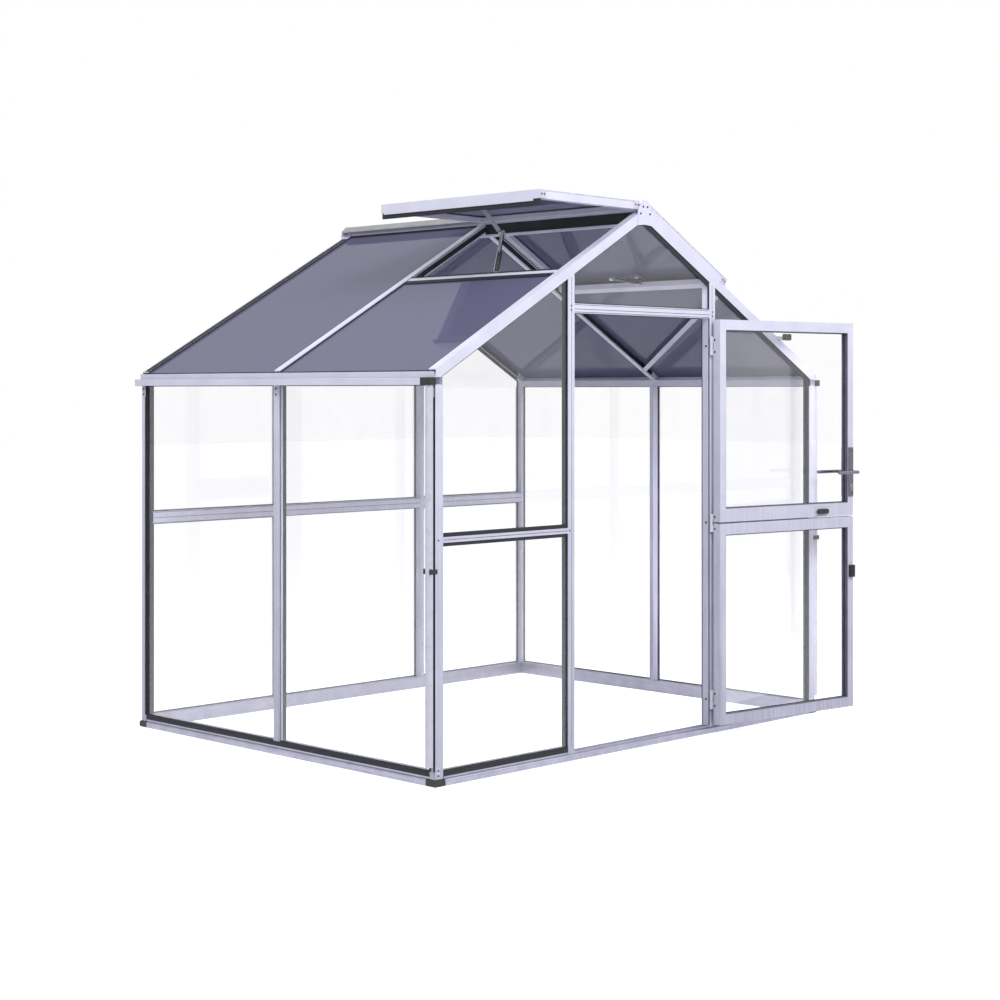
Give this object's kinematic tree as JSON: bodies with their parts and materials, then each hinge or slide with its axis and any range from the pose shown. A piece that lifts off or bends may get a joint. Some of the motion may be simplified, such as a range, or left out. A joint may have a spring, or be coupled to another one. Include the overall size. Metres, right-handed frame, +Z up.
{
  "type": "glass greenhouse",
  "caption": "Small aluminium greenhouse with glass walls, a pitched smoked-glass roof with vents, gutters and downpipes, and a stable door that swings back against the gable.",
  "frame": {"origin": "on the ground at the middle of the doorway, in the outer plane of the door gable", "axes": "+X along the door gable to the right seen from outside, +Y along the ridge into the house, +Z up"},
  "size_m": [2.561, 2.1414, 2.3179],
  "materials": {
    "white_aluminium": "satin powder coat, white with a faint lilac cast",
    "sill_aluminium": "mill finish, satin",
    "white_pipe": "smooth extruded",
    "black_plastic": "moulded, fine grain",
    "wall_glass": "clear toughened",
    "roof_glass": "smoke tinted toughened",
    "hinge_metal": "satin",
    "opener_steel": "dull zinc",
    "handle_steel": "brushed"
  },
  "bodies": {
    "house": {"front_sill": "sill_aluminium", "threshold": "sill_aluminium", "rear_sill": "sill_aluminium", "side_sills": "sill_aluminium", "corner_feet": "black_plastic", "corner_posts": "white_aluminium", "door_posts": "white_aluminium", "rear_posts": "white_aluminium", "side_bars": "white_aluminium", "left_gutter": "white_aluminium", "right_gutter": "white_aluminium", "gutter_outlets": "black_plastic", "gutter_ends": "white_aluminium", "downpipes": "white_pipe", "pipe_clips": "black_plastic", "ridge_beam": "white_aluminium", "ridge_cap": "sill_aluminium", "ridge_end_plates": "white_aluminium", "gable_rafters": "white_aluminium", "mid_rafters": "white_aluminium", "head_rail": "white_aluminium", "front_rails": "white_aluminium", "rear_rails": "white_aluminium", "vent_sills": "white_aluminium", "roof_brace": "sill_aluminium", "left_vent_frame": "white_aluminium", "right_vent_frame": "white_aluminium", "vent_glass": "roof_glass", "left_vent_opener": "opener_steel", "right_vent_opener": "opener_steel", "front_glass": "wall_glass", "rear_glass": "wall_glass", "side_glass": "wall_glass", "left_roof_glass": "roof_glass", "right_roof_glass": "roof_glass", "frame_hinges": "hinge_metal", "keeper_plates": "black_plastic"},
    "lower_leaf": {"lower_leaf_frame": "white_aluminium", "lower_leaf_glass": "wall_glass", "lower_leaf_hinges": "hinge_metal", "lower_leaf_latch": "black_plastic"},
    "upper_leaf": {"upper_leaf_frame": "white_aluminium", "upper_leaf_glass": "wall_glass", "upper_leaf_hinges": "hinge_metal", "lock_plates": "handle_steel"},
    "lever": {"lever_handles": "handle_steel"},
    "button": {"turn_button": "black_plastic"}
  },
  "joints": [
    {"name": "lower_leaf_hinge", "type": "hinge", "parent": "house", "child": "lower_leaf", "pos_m": [0.44, -0.008, 0.49], "axis": [0, 0, 1], "range_deg": [-173, 0]},
    {"name": "upper_leaf_hinge", "type": "hinge", "parent": "house", "child": "upper_leaf", "pos_m": [0.44, -0.008, 1.375], "axis": [0, 0, 1], "range_deg": [-173, 0]},
    {"name": "lever_turn", "type": "hinge", "parent": "upper_leaf", "child": "lever", "pos_m": [1.28472, -0.13993, 1.131], "axis": [-0.1219, -0.9925, 0], "range_deg": [0, 40], "stiffness_Nm_per_rad": 2, "springref_deg": -17.19},
    {"name": "button_turn", "type": "hinge", "parent": "upper_leaf", "child": "button", "pos_m": [1.08551, -0.13562, 0.955], "axis": [-0.1219, -0.9925, 0], "range_deg": [0, 90]}
  ]
}
